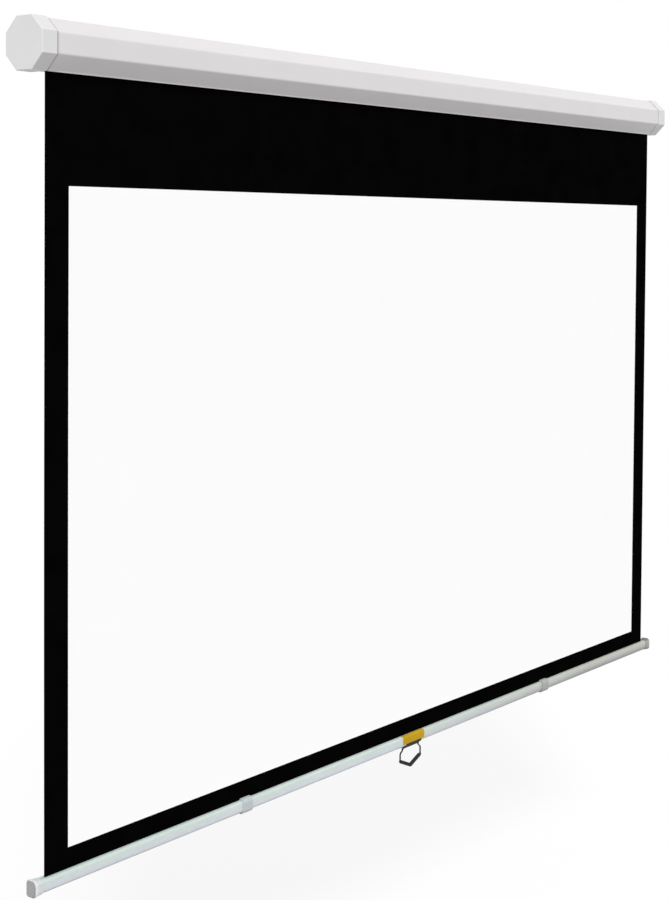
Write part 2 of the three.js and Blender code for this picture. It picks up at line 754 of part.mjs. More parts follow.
const picture = [
  new THREE.Vector2(-VIEW_WIDTH / 2, viewBottom),
  new THREE.Vector2(VIEW_WIDTH / 2, viewBottom),
  new THREE.Vector2(VIEW_WIDTH / 2, viewTop),
  new THREE.Vector2(-VIEW_WIDTH / 2, viewTop),
];
const fabric = new THREE.Group();
fabric.position.set(0, sheetBack, 0);
place(fabric, "black_backing", sheetLayer(BACK_LAYER), backBlack);
const border = sheetLayer(FRONT_LAYER, new THREE.Path(picture));
place(fabric, "masking_border", border, maskBlack).position.y = -BACK_LAYER;
const view = forward(new THREE.Shape(picture), 0, FRONT_LAYER);
place(fabric, "viewing_surface", view, viewWhite).position.y = -BACK_LAYER;

// Weight bar

const barCapFace = fabricHalf + BAR_OVERHANG;
const barHalf = barCapFace - BAR_CAP_END - FIT;

/** The bar's outline in Y and Z, grown by a clearance or a wall, with its back to the right. */
function barOutline(grow) {
  return roundedRect(
    BAR_DEPTH + 2 * grow, BAR_HEIGHT + 2 * grow, BAR_BACK_CORNER + grow, BAR_FRONT_CORNER + grow,
  );
}

/** Extruded bar with a slotted channel for the fabric's hem and a hollow below it. */
function weightBar() {
  const length = 2 * barHalf;
  const overlong = length + 2 * OVERRUN;
  const toolX = -overlong / 2;
  const channel = rod(channelRadius, toolX, overlong).translate(0, 0, channelZ);
  const mouthHeight = BAR_HEIGHT / 2 - channelZ + OVERRUN;
  const mouth = block(overlong, BAR_SLOT, mouthHeight, 0, 0, channelZ + mouthHeight / 2);
  const hollowTop = channelZ - channelRadius - BAR_WALL;
  const hollow = common(
    alongX(barOutline(-BAR_WALL), toolX, overlong),
    block(overlong, BAR_DEPTH, BAR_HEIGHT, 0, 0, hollowTop - BAR_HEIGHT / 2),
  );
  return cut(alongX(barOutline(0), -barHalf, length), channel, mouth, hollow);
}

/** Share of the flare at a share of the cap's length. */
function flareAt(along) {
  const next = FLARE_SHARES.findIndex(([place]) => place >= along);
  const [x0, y0] = FLARE_SHARES[Math.max(next - 1, 0)];
  const [x1, y1] = FLARE_SHARES[Math.max(next, 1)];
  return y0 + ((y1 - y0) * (along - x0)) / (x1 - x0);
}

/** Moulded cap that slips over the bar's end and flares to a recessed face. */
function barCap() {
  const mouth = barOutline(FIT + BAR_CAP_LIP);
  const slabs = FLARE_SHARES.slice(1).map(([to], i) => {
    const from = FLARE_SHARES[i][0];
    const slab = alongX(mouth, from * BAR_CAP_LENGTH, (to - from) * BAR_CAP_LENGTH);
    const positions = slab.attributes.position;
    for (let j = 0; j < positions.count; j += 1) {
      const scale = 1 + FLARE_SHARE * flareAt(Math.min(1, positions.getX(j) / BAR_CAP_LENGTH));
      positions.setY(j, positions.getY(j) * scale);
      positions.setZ(j, positions.getZ(j) * scale);
    }
    return slab;
  });
  const pocket = alongX(barOutline(FIT), -OVERRUN, BAR_CAP_LENGTH - BAR_CAP_END + OVERRUN);
  const recess = alongX(plugOutline(FIT), BAR_CAP_LENGTH - BAR_PLUG_DEPTH, BAR_PLUG_DEPTH + OVERRUN);
  return cut(join(...slabs), pocket, recess);
}

/** Outline of the plug in a cap's face, grown by a clearance. */
function plugOutline(grow) {
  const face = BAR_PLUG_SHARE * (1 + FLARE_SHARE);
  const rim = FIT + BAR_CAP_LIP;
  return roundedRect(
    face * (BAR_DEPTH + 2 * rim) + 2 * grow,
    face * (BAR_HEIGHT + 2 * rim) + 2 * grow,
    face * (BAR_BACK_CORNER + rim) + grow,
    face * (BAR_FRONT_CORNER + rim) + grow,
  );
}

/** Plug that closes a cap's face and stands a little proud of its rim. */
function barPlug() {
  const seat = BAR_CAP_LENGTH - BAR_PLUG_DEPTH + FIT;
  const length = BAR_PLUG_DEPTH - FIT + BAR_PLUG_PROUD;
  return join(
    alongX(plugOutline(0), seat, length - BAR_PLUG_EDGE),
    alongX(plugOutline(-BAR_PLUG_EDGE), seat, length),
  );
}

/** Stop collar that clips round the bar from below and leaves the fabric free at the top. */
function stopCollar() {
  const half = COLLAR_LENGTH / 2;
  const slim = barOutline(FIT + COLLAR_WALL - COLLAR_EDGE);
  const body = join(
    alongX(slim, -half, COLLAR_LENGTH),
    alongX(barOutline(FIT + COLLAR_WALL), -half + COLLAR_EDGE, COLLAR_LENGTH - 2 * COLLAR_EDGE),
  );
  const bore = alongX(barOutline(FIT), -half - OVERRUN, COLLAR_LENGTH + 2 * OVERRUN);
  const gap = block(COLLAR_LENGTH + 2 * OVERRUN, BAR_SLOT, BAR_HEIGHT, 0, 0, BAR_HEIGHT / 2);
  return cut(body, bore, gap);
}

/** Film stuck round the front of the bar, from beside its slot down to the handle's bracket. */
function barLabel() {
  const film = cut(
    alongX(barOutline(LABEL_GLUE + LABEL_FILM), -LABEL_LENGTH / 2, LABEL_LENGTH),
    alongX(barOutline(LABEL_GLUE), -LABEL_LENGTH, 2 * LABEL_LENGTH),
  );
  const back = -BAR_SLOT / 2 - LABEL_INSET;
  const bottom = SADDLE_RISE + FIT - BAR_HEIGHT / 2;
  const front = block(
    2 * LABEL_LENGTH, BAR_DEPTH, BAR_HEIGHT, 0, back - BAR_DEPTH / 2, bottom + BAR_HEIGHT / 2,
  );
  return common(film, front);
}

const bar = new THREE.Group();
bar.position.set(0, sheetMiddle, barZ);
place(bar, "weight_bar", weightBar(), barGrey);
const hemRod = rod(HEM_ROD, -fabricHalf, fabricWidth).translate(0, 0, channelZ);
place(bar, "hem_rod", hemRod, steel);
place(bar, "right_bar_cap", barCap(), barCapWhite).position.x = barCapFace - BAR_CAP_LENGTH;
const leftBarCap = place(bar, "left_bar_cap", mirrored(barCap()), barCapWhite);
leftBarCap.position.x = BAR_CAP_LENGTH - barCapFace;
place(bar, "right_bar_plug", barPlug(), barPlugGrey).position.x = barCapFace - BAR_CAP_LENGTH;
const leftBarPlug = place(bar, "left_bar_plug", mirrored(barPlug()), barPlugGrey);
leftBarPlug.position.x = BAR_CAP_LENGTH - barCapFace;
place(bar, "bar_label", barLabel(), labelYellow);
for (const [name, side] of [["left", -1], ["right", 1]]) {
  const collar = place(bar, `${name}_stop_collar`, stopCollar(), collarGrey);
  collar.position.x = side * COLLAR_PLACE_SHARE * fabricHalf;
}

// Pull handle

const pivotDrop = BAR_HEIGHT / 2 + FIT + HANDLE_EYE; // from the middle of the bar

/** Bracket that hugs the bar's underside and holds the two handle pins in its keel. */
function handleBracket() {
  const half = HANDLE_BRACKET_LENGTH / 2;
  const keelBottom = -pivotDrop - HANDLE_EYE;
  const keelHeight = BAR_HEIGHT / 2;
  const keel = alongX(
    roundedRect(HANDLE_BRACKET_DEPTH, keelHeight, HANDLE_EYE), -half, HANDLE_BRACKET_LENGTH,
  );
  keel.translate(0, 0, keelBottom + keelHeight / 2);
  const saddle = common(
    alongX(barOutline(FIT + SADDLE_WALL), -half, HANDLE_BRACKET_LENGTH),
    block(2 * half + OVERRUN, 2 * BAR_DEPTH, BAR_HEIGHT, 0, 0, SADDLE_RISE - BAR_HEIGHT),
  );
  const seat = alongX(barOutline(FIT), -HANDLE_BRACKET_LENGTH, 2 * HANDLE_BRACKET_LENGTH);
  const toolLength = HANDLE_PIN_GRIP + FIT + OVERRUN;
  const holes = [half - HANDLE_PIN_GRIP - FIT, -half - OVERRUN].map((x) =>
    rod(HANDLE_PIN + FIT, x, toolLength).translate(0, 0, -pivotDrop),
  );
  return cut(join(saddle, keel), seat, ...holes);
}

/** Loop like a house turned over: two slim arms with eyes, and a stout grip across their ends. */
function pullHandle() {
  const top = HANDLE_BRACKET_LENGTH / 2 + FIT + ARM_THICKNESS;
  const half = HANDLE_WIDTH / 2;
  const down = FIT + HANDLE_EYE; // the axis lies this far below the bar
  const gripTop = down - HANDLE_CORNER + GRIP_RISE;
  const line = [
    [top, HANDLE_EYE],
    [top, -HANDLE_EYE - HANDLE_BEND],
    [half, down - HANDLE_SHOULDER],
    [half, down - HANDLE_CORNER],
    [0, down - HANDLE_TIP],
    [-half, down - HANDLE_CORNER],
    [-half, down - HANDLE_SHOULDER],
    [-top, -HANDLE_EYE - HANDLE_BEND],
    [-top, HANDLE_EYE],
  ].map(([x, z]) => new THREE.Vector2(x, z));
  const rounded = softened(line, HANDLE_BEND);
  const side = new THREE.Shape();
  side.absarc(0, 0, HANDLE_EYE, 0, Math.PI);
  side.lineTo(-HANDLE_EYE, -HANDLE_EYE);
  side.lineTo(-ARM_DEPTH / 2, -HANDLE_EYE - HANDLE_BEND);
  side.lineTo(-ARM_DEPTH / 2, -HANDLE_TIP);
  side.lineTo(ARM_DEPTH / 2, -HANDLE_TIP);
  side.lineTo(ARM_DEPTH / 2, -HANDLE_EYE - HANDLE_BEND);
  side.lineTo(HANDLE_EYE, -HANDLE_EYE);
  const arms = common(
    forward(strip(rounded, ARM_THICKNESS), HANDLE_EYE, 2 * HANDLE_EYE),
    alongX(side, -HANDLE_WIDTH, 2 * HANDLE_WIDTH),
  );
  const grip = common(
    forward(strip(line, GRIP_THICKNESS), GRIP_DEPTH / 2, GRIP_DEPTH),
    forward(new THREE.Shape(rounded), GRIP_DEPTH, 2 * GRIP_DEPTH),
    block(2 * HANDLE_WIDTH, 2 * GRIP_DEPTH, HANDLE_TIP, 0, 0, gripTop - HANDLE_TIP / 2),
  );
  const holes = rod(HANDLE_PIN + FIT, -HANDLE_WIDTH, 2 * HANDLE_WIDTH);
  return cut(join(arms, grip), holes);
}

/** Headed pin through one arm of the handle into the bracket. */
function handlePin() {
  const grip = HANDLE_PIN_GRIP;
  const neck = 2 * FIT + ARM_THICKNESS;
  return turned([
    [0, -grip],
    [HANDLE_PIN, -grip],
    [HANDLE_PIN, neck],
    [HANDLE_EYE - FIT, neck],
    [HANDLE_EYE - FIT, neck + HANDLE_PIN],
    [0, neck + HANDLE_PIN],
  ], SMALL_SEGMENTS);
}

place(bar, "handle_bracket", handleBracket(), handleBlack);
const rightPin = place(bar, "right_handle_pin", handlePin(), steel);
rightPin.position.set(HANDLE_BRACKET_LENGTH / 2, 0, -pivotDrop);
const leftPin = place(bar, "left_handle_pin", handlePin(), steel);
leftPin.rotation.z = Math.PI;
leftPin.position.set(-HANDLE_BRACKET_LENGTH / 2, 0, -pivotDrop);
const handle = place(bar, "pull_handle", pullHandle(), handleBlack);
handle.position.z = -pivotDrop;

const screen = new THREE.Group();
screen.add(casing, lock, roller, pawls, fabric, bar);
console.log(`least gap between the spring's curls: ${springGap().toFixed(2)} mm`);
console.log(`bar travel ${barTravel.toFixed(1)} mm, mean wrap radius ${meanWrapRadius.toFixed(2)} mm`);

export default screen;
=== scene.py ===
"""Finishes the pull-down projector screen and sets it in plain studio light.

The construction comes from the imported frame. This script adds the hanging fabric, the fine edges
of the mouldings, every finish, the camera, the lamp and the floor. Lengths are in metres, in the
frame's own axes.
"""

import json
import logging
import math
from dataclasses import dataclass, field
from enum import Enum
from typing import Sequence

import bmesh
import bpy
from mathutils import Matrix, Vector


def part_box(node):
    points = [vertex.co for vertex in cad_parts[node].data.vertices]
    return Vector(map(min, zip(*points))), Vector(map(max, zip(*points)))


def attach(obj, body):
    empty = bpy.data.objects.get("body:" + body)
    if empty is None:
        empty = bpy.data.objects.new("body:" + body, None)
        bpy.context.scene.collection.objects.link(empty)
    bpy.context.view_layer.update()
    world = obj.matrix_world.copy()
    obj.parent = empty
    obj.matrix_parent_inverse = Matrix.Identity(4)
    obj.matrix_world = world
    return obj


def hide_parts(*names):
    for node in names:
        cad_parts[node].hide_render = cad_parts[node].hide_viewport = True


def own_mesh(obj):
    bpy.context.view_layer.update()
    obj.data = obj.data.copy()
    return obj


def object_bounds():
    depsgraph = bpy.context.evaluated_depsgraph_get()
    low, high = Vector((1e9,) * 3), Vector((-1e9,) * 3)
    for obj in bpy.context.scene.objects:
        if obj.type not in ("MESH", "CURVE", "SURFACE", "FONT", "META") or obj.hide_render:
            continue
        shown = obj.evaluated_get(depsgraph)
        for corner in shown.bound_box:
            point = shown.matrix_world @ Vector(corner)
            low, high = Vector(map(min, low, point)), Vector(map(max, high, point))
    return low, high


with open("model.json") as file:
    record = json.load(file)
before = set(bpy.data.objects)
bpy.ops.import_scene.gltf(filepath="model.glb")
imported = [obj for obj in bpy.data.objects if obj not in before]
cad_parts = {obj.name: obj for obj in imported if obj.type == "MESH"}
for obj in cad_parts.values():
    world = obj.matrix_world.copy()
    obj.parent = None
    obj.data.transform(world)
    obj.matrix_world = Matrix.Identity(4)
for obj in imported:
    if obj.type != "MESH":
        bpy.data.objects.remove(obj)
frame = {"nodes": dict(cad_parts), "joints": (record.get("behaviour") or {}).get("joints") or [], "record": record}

CAD_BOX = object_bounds()
MM = 0.001
LOG = logging.getLogger("screen")

Colour = tuple[float, float, float]
Stops = tuple[tuple[float, Colour], ...]

PLAIN: Stops = ((-1.0, (1, 1, 1)), (1.0, (1, 1, 1)))

# Most of any noise lies between these two values.
NOISE_LOW = 0.3
NOISE_HIGH = 0.7

# From one band of a Wave texture to the next, at scale 1.
WAVE_PERIOD = math.pi / 10


class Side(Enum):
    """The two ends of the screen, as seen by someone who faces it and as node names say."""

    LEFT = "left"
    RIGHT = "right"


# Node graphs


class Graph:
    """The node graph of one material, with short calls for the nodes that finishes share."""

    def __init__(self, name: str) -> None:
        """Starts a material with one shader.

        Args:
            name: The material's name.
        """
        self.material = bpy.data.materials.new(name)
        self.material.use_nodes = True
        self.tree = self.material.node_tree
        self.tree.nodes.clear()
        self.shader = self.tree.nodes.new("ShaderNodeBsdfPrincipled")
        output = self.tree.nodes.new("ShaderNodeOutputMaterial")
        self.tree.links.new(self.shader.outputs["BSDF"], output.inputs["Surface"])
        self.place = self.tree.nodes.new("ShaderNodeTexCoord").outputs["Object"]

    def fix(self, **values: float) -> None:
        """Sets values that are the same all over the surface on the shader's own sockets.

        Args:
            values: Socket names with underscores for spaces, and their values.
        """
        for name, value in values.items():
            self.shader.inputs[name.replace("_", " ")].default_value = value

    def link(self, source: bpy.types.NodeSocket, name: str) -> None:
        """Feeds one of the shader's sockets.

        Args:
            source: Where the value comes from.
            name: The shader socket's name.
        """
        self.tree.links.new(source, self.shader.inputs[name])

    def scaled(self, stretch: Sequence[float]) -> bpy.types.NodeSocket:
        """Object coordinates stretched along the axes.

        Args:
            stretch: Scale along X, Y and Z.

        Returns:
            The socket with the stretched place.
        """
        node = self.tree.nodes.new("ShaderNodeMapping")
        node.inputs["Scale"].default_value = tuple(stretch)
        self.tree.links.new(self.place, node.inputs["Vector"])
        return node.outputs["Vector"]

    def noise(
        self, size: float, detail: float = 2.0, stretch: Sequence[float] = (1, 1, 1)
    ) -> bpy.types.NodeSocket:
        """Cloudy variation.

        Args:
            size: Size of one cloud in metres.
            detail: Octaves of finer clouds.
            stretch: Scale along X, Y and Z before the size.

        Returns:
            The socket with the noise from 0 to 1.
        """
        node = self.tree.nodes.new("ShaderNodeTexNoise")
        node.inputs["Scale"].default_value = 1 / size
        node.inputs["Detail"].default_value = detail
        self.tree.links.new(self.scaled(stretch), node.inputs["Vector"])
        return node.outputs["Fac"]

    def cells(self, size: float, stretch: Sequence[float] = (1, 1, 1)) -> bpy.types.NodeSocket:
        """Crystal-like cells.

        Args:
            size: Size of one cell in metres.
            stretch: Scale along X, Y and Z before the size.

        Returns:
            The socket with the distance to the nearest cell's middle.
        """
        node = self.tree.nodes.new("ShaderNodeTexVoronoi")
        node.inputs["Scale"].default_value = 1 / size
        self.tree.links.new(self.scaled(stretch), node.inputs["Vector"])
        return node.outputs["Distance"]

    def threads(self, axis: str, pitch: float) -> bpy.types.NodeSocket:
        """Even ridges across one axis.

        Args:
            axis: X, Y or Z, the axis along which the ridges repeat.
            pitch: From one ridge to the next, in metres.

        Returns:
            The socket with the ridges' height from 0 to 1.
        """
        node = self.tree.nodes.new("ShaderNodeTexWave")
        node.wave_type = "BANDS"
        node.bands_direction = axis
        node.inputs["Scale"].default_value = WAVE_PERIOD / pitch
        self.tree.links.new(self.place, node.inputs["Vector"])
        return node.outputs["Fac"]

    def both(
        self, first: bpy.types.NodeSocket, second: bpy.types.NodeSocket, how: str
    ) -> bpy.types.NodeSocket:
        """Joins two values.

        Args:
            first: One value.
            second: The other value.
            how: The operation of a Math node.

        Returns:
            The socket with the result.
        """
        node = self.tree.nodes.new("ShaderNodeMath")
        node.operation = how
        self.tree.links.new(first, node.inputs[0])
        self.tree.links.new(second, node.inputs[1])
        return node.outputs["Value"]

    def between(
        self, value: bpy.types.NodeSocket, low: float, high: float
    ) -> bpy.types.NodeSocket:
        """Maps the middle of a noise to a range.

        Args:
            value: A noise.
            low: Result at the noise's usual lowest value.
            high: Result at the noise's usual highest value.

        Returns:
            The socket with the mapped value.
        """
        node = self.tree.nodes.new("ShaderNodeMapRange")
        node.inputs["From Min"].default_value = NOISE_LOW
        node.inputs["From Max"].default_value = NOISE_HIGH
        node.inputs["To Min"].default_value = low
        node.inputs["To Max"].default_value = high
        self.tree.links.new(value, node.inputs["Value"])
        return node.outputs["Result"]

    def tinted(
        self, value: bpy.types.NodeSocket, low: Colour, high: Colour
    ) -> bpy.types.NodeSocket:
        """Blends two colours by a noise.

        Args:
            value: A noise.
            low: Colour at the noise's usual lowest value.
            high: Colour at the noise's usual highest value.

        Returns:
            The socket with the colour.
        """
        node = self.tree.nodes.new("ShaderNodeValToRGB")
        ramp = node.color_ramp
        ramp.elements[0].position = NOISE_LOW
        ramp.elements[0].color = (*low, 1)
        ramp.elements[1].position = NOISE_HIGH
        ramp.elements[1].color = (*high, 1)
        self.tree.links.new(value, node.inputs["Fac"])
        return node.outputs["Color"]

    def axis(self, name: str) -> bpy.types.NodeSocket:
        """One coordinate of the place on the object.

        Args:
            name: X, Y or Z.

        Returns:
            The socket with the coordinate in metres.
        """
        split = self.tree.nodes.new("ShaderNodeSeparateXYZ")
        self.tree.links.new(self.place, split.inputs["Vector"])
        return split.outputs[name]

    def span(self, value: bpy.types.NodeSocket, low: float, high: float) -> bpy.types.NodeSocket:
        """How far a value has come from one bound to another.

        Args:
            value: The value.
            low: Bound at which the result is 0, which may be the larger one.
            high: Bound at which the result is 1.

        Returns:
            The socket with the result, which stays between 0 and 1.
        """
        node = self.tree.nodes.new("ShaderNodeMapRange")
        node.inputs["From Min"].default_value = low
        node.inputs["From Max"].default_value = high
        self.tree.links.new(value, node.inputs["Value"])
        return node.outputs["Result"]

    def ends(self, left: float, end: float, right: float) -> bpy.types.NodeSocket:
        """How near a place is to either end of a long piece.

        Args:
            left: How far from the middle the left end's stretch starts.
            end: How far from the middle both stretches are complete.
            right: How far from the middle the right end's stretch starts.

        Returns:
            The socket with the result, from 0 along the middle to 1 at both ends.
        """
        along = self.axis("X")
        return self.both(self.span(along, -left, -end), self.span(along, right, end), "MAXIMUM")

    def blended(
        self,
        share: bpy.types.NodeSocket | float,
        first: bpy.types.NodeSocket,
        second: bpy.types.NodeSocket | Colour,
        how: str = "MIX",
    ) -> bpy.types.NodeSocket:
        """Lays one colour over another.

        Args:
            share: Share of the upper colour.
            first: The lower colour.
            second: The upper colour, plain or varying.
            how: The way of blending, as a Mix node names it.

        Returns:
            The socket with the colour.
        """
        node = self.tree.nodes.new("ShaderNodeMixRGB")
        node.blend_type = how
        self.tree.links.new(first, node.inputs["Color1"])
        if isinstance(share, float):
            node.inputs["Fac"].default_value = share
        else:
            self.tree.links.new(share, node.inputs["Fac"])
        if isinstance(second, tuple):
            node.inputs["Color2"].default_value = (*second, 1)
        else:
            self.tree.links.new(second, node.inputs["Color2"])
        return node.outputs["Color"]

    def upwards(
        self, middle: float, stops: Stops, cloud: float = 25 * MM, shift: float = 0.012
    ) -> bpy.types.NodeSocket:
        """Colours that change with height, with cloudy edges between them.

        Args:
            middle: Height that the stops are measured from.
            stops: Heights and their colours, from the lowest to the highest.
            cloud: Size of the clouds at the edges.
            shift: How far the clouds shift an edge, as a share of the stops' whole height.

        Returns:
            The socket with the colour.
        """
        low, high = stops[0][0], stops[-1][0]
        height = self.span(self.axis("Z"), middle + low, middle + high)
        cloudy = self.between(self.noise(cloud), -shift, shift)
        node = self.tree.nodes.new("ShaderNodeValToRGB")
        self.tree.links.new(self.both(height, cloudy, "ADD"), node.inputs["Fac"])
        elements = node.color_ramp.elements
        while len(elements) < len(stops):
            elements.new(1)
        for element, (place, colour) in zip(elements, stops):
            element.position = (place - low) / (high - low)
            element.color = (*colour, 1)
        return node.outputs["Color"]

    def relief(self, height: bpy.types.NodeSocket, depth: float, strength: float = 1.0) -> None:
        """Raises the surface a little by a height.

        Args:
            height: The height from 0 to 1.
            depth: The relief's full depth in metres.
            strength: How much of it shows.
        """
        node = self.tree.nodes.new("ShaderNodeBump")
        node.inputs["Distance"].default_value = depth
        node.inputs["Strength"].default_value = strength
        self.tree.links.new(height, node.inputs["Height"])
        self.link(node.outputs["Normal"], "Normal")


def shade(colour: Colour, share: float) -> Colour:
    """A colour made lighter or darker.

    Args:
        colour: The colour in linear light.
        share: How much light it keeps.

    Returns:
        The new colour.
    """
    return tuple(min(1.0, channel * share) for channel in colour)


# Finishes


@dataclass(frozen=True)
class Finish:
    """A surface finish that knows its record slot and can dress a piece."""

    slot: str
    colour: Colour
    roughness: float
    mottle: float = 0.03
    cloud: float = 60 * MM
    haze: float = 9 * MM
    haze_share: float = 0.12

    @property
    def name(self) -> str:
        """The material's name, which differs from that of the frame's plain one."""
        return f"{self.slot}_finish"

    def ground(self, made: Graph) -> bpy.types.NodeSocket:
        """The finish's colour with faint clouds.

        Args:
            made: The graph to make it in.

        Returns:
            The socket with the colour.
        """
        low = shade(self.colour, 1 - self.mottle)
        high = shade(self.colour, 1 + self.mottle)
        return made.tinted(made.noise(self.cloud, detail=3), low, high)

    def graph(self) -> Graph:
        """Makes the node graph with the finish's colour and roughness.

        Returns:
            The graph, ready for more detail.
        """
        made = Graph(self.name)
        made.link(self.ground(made), "Base Color")
        haze = made.noise(self.haze, detail=4)
        spread = self.haze_share * self.roughness
        low, high = self.roughness - spread, self.roughness + spread
        made.link(made.between(haze, low, high), "Roughness")
        return made

    def material(self) -> bpy.types.Material:
        """The finished material, made once."""
        found = bpy.data.materials.get(self.name)
        return found or self.graph().material

    def dress(self, piece: bpy.types.Object) -> None:
        """Puts the finish on a piece.

        Args:
            piece: A mesh object.
        """
        piece.data.materials.clear()
        piece.data.materials.append(self.material())
        for face in piece.data.polygons:
            face.material_index = 0


@dataclass(frozen=True)
class PowderCoat(Finish):
    """Baked powder paint with a fine orange peel, and painted shade in the joint with each end cap."""

    peel: float = 1.1 * MM
    depth: float = 0.02 * MM
    joint: float = 0.982
    # Painted shade: the paint darkens towards each end cap's joint, over a wider stretch at the left end than at
    # the right.
    left_joint_shade: float = 6.5 * MM
    right_joint_shade: float = 0.6 * MM
    joint_shade_level: float = 0.25
    shine: float = 0.4

    def ground(self, made: Graph) -> bpy.types.NodeSocket:
        """The paint's colour, with painted shade that thins out from the joints.

        Args:
            made: The graph to make it in.

        Returns:
            The socket with the colour.
        """
        # Painted shade laid over the paint near each joint.
        ends = made.ends(self.joint - self.left_joint_shade, self.joint, self.joint - self.right_joint_shade)
        return made.blended(ends, super().ground(made), shade(self.colour, self.joint_shade_level))

    def graph(self) -> Graph:
        """Adds the peel and a hint of clear gloss.

        Returns:
            The graph with the detail.
        """
        made = super().graph()
        made.relief(made.noise(self.peel), self.depth)
        made.fix(Specular_IOR_Level=self.shine)
        return made


@dataclass(frozen=True)
class Moulding(Finish):
    """Injection-moulded plastic with a spark-eroded grain."""

    grain: float = 0.45 * MM
    depth: float = 0.012 * MM
    shine: float = 0.35

    def graph(self) -> Graph:
        """Adds the grain.

        Returns:
            The graph with the detail.
        """
        made = super().graph()
        made.relief(made.noise(self.grain, detail=3), self.depth)
        made.fix(Specular_IOR_Level=self.shine)
        return made


@dataclass(frozen=True)
class Plated(Finish):
    """Bare or plated metal, with drawn streaks or crystals."""

    crystal: float = 7 * MM
    streak: Sequence[float] = (1, 1, 1)
    shaded: float = 0.9
    scratch: float = 0.8 * MM
    depth: float = 0.01 * MM

    def ground(self, made: Graph) -> bpy.types.NodeSocket:
        """The metal's colour, which differs from crystal to crystal.

        Args:
            made: The graph to make it in.

        Returns:
            The socket with the colour.
        """
        crystals = made.cells(self.crystal, self.streak)
        return made.tinted(crystals, shade(self.colour, self.shaded), self.colour)

    def graph(self) -> Graph:
        """Adds fine streaks to the relief.

        Returns:
            The graph with the detail.
        """
        made = super().graph()
        made.relief(made.noise(self.scratch, stretch=self.streak), self.depth)
        made.fix(Metallic=1.0)
        return made


@dataclass(frozen=True)
class CoatedCloth(Finish):
    """Glass-fibre cloth with a matt coating that lets the threads show faintly."""

    pitch: float = 0.8 * MM
    grain: float = 0.5 * MM
    depth: float = 0.03 * MM
    shine: float = 0.0

    def graph(self) -> Graph:
        """Adds the threads and the coating's grain.

        Returns:
            The graph with the detail.
        """
        made = super().graph()
        weave = made.both(made.threads("X", self.pitch), made.threads("Z", self.pitch), "MAXIMUM")
        grain = made.noise(self.grain, detail=3)
        made.relief(made.both(weave, grain, "MULTIPLY"), self.depth)
        made.fix(Specular_IOR_Level=self.shine)
        return made


@dataclass(frozen=True)
class BarFinish(Finish):
    """A finish of the weight bar, with smudges from handling, painted light and shade by height that darkens its
    lower edge, and painted shade that dulls it towards the right.
    """

    middle: float = -1.307
    # left and right hold painted light and shade by height, lighter towards the top and darker along the lower
    # edge; right holds darker tones, painted shade for the bar's right end.
    left: Stops = PLAIN
    right: Stops = PLAIN
    painted_dim_start: float = -0.1
    painted_dim_end: float = 0.7
    rub: Colour = (0.93, 0.93, 0.935)
    smudge: float = 4 * MM
    smudge_stretch: Sequence[float] = (0.4, 1, 1)

    def ground(self, made: Graph) -> bpy.types.NodeSocket:
        """The colour times painted light and shade that change with the height and the place along the bar, with
        smudges.

        Args:
            made: The graph to make it in.

        Returns:
            The socket with the colour.
        """
        # Painted shade: the right-hand tones take over towards the bar's right end.
        share = made.span(made.axis("X"), self.painted_dim_start, self.painted_dim_end)
        left = made.upwards(self.middle, self.left)
        right = made.upwards(self.middle, self.right)
        painted_shading = made.blended(share, left, right)
        painted_shaded_colour = made.blended(1.0, super().ground(made), painted_shading, "MULTIPLY")
        smudges = made.noise(self.smudge, 4, self.smudge_stretch)
        return made.blended(made.between(smudges, 0, 1), painted_shaded_colour, self.rub, "MULTIPLY")


@dataclass(frozen=True)
class BarLacquer(BarFinish):
    """Pearl lacquer on an extruded bar, with die lines along its length, over the bar finish's painted light and
    shade.
    """

    line: float = 0.6 * MM
    line_stretch: Sequence[float] = (0.01, 1, 1)
    depth: float = 0.02 * MM
    shine: float = 0.4

    def graph(self) -> Graph:
        """Adds die lines that run along X.

        Returns:
            The graph with the detail.
        """
        made = super().graph()
        made.relief(made.noise(self.line, stretch=self.line_stretch), self.depth)
        made.fix(Specular_IOR_Level=self.shine)
        return made


@dataclass(frozen=True)
class BarMoulding(BarFinish):
    """Moulded plastic with a fine grain, as the bar's collars have, over the bar finish's painted light and shade.
    """

    grain: float = 0.45 * MM
    depth: float = 0.012 * MM
    shine: float = 0.35

    def graph(self) -> Graph:
        """Adds the grain.

        Returns:
            The graph with the detail.
        """
        made = super().graph()
        made.relief(made.noise(self.grain, detail=3), self.depth)
        made.fix(Specular_IOR_Level=self.shine)
        return made


@dataclass(frozen=True)
class CapMoulding(BarMoulding):
    """Moulded plastic of the bar's end caps, with painted shade that darkens each cap from its outer rim towards
    the bar.
    """

    # Painted shade: each cap darkens from its rim over the fade width towards the bar.
    rim: float = 1.003
    painted_shade_fade: float = 7 * MM
    neck_painted_shade: Colour = (0.83, 0.86, 0.875)

    def ground(self, made: Graph) -> bpy.types.NodeSocket:
        """The colour with its painted light and shade, darkened further by painted shade from the rims to the bar.

        Args:
            made: The graph to make it in.

        Returns:
            The socket with the colour.
        """
        bright = super().ground(made)
        painted_shade_near_bar = made.blended(1.0, bright, self.neck_painted_shade, "MULTIPLY")
        inner = self.rim - self.painted_shade_fade
        return made.blended(made.ends(inner, self.rim, inner), painted_shade_near_bar, bright)


@dataclass(frozen=True)
class LabelStock(Finish):
    """Coloured paper label."""

    fibre: float = 0.7 * MM
    fibre_stretch: Sequence[float] = (0.3, 1, 1)
    depth: float = 0.02 * MM
    shine: float = 0.12

    def graph(self) -> Graph:
        """Adds paper fibres.

        Returns:
            The graph with the detail.
        """
        made = super().graph()
        made.relief(made.noise(self.fibre, 4, self.fibre_stretch), self.depth)
        made.fix(Specular_IOR_Level=self.shine)
        return made


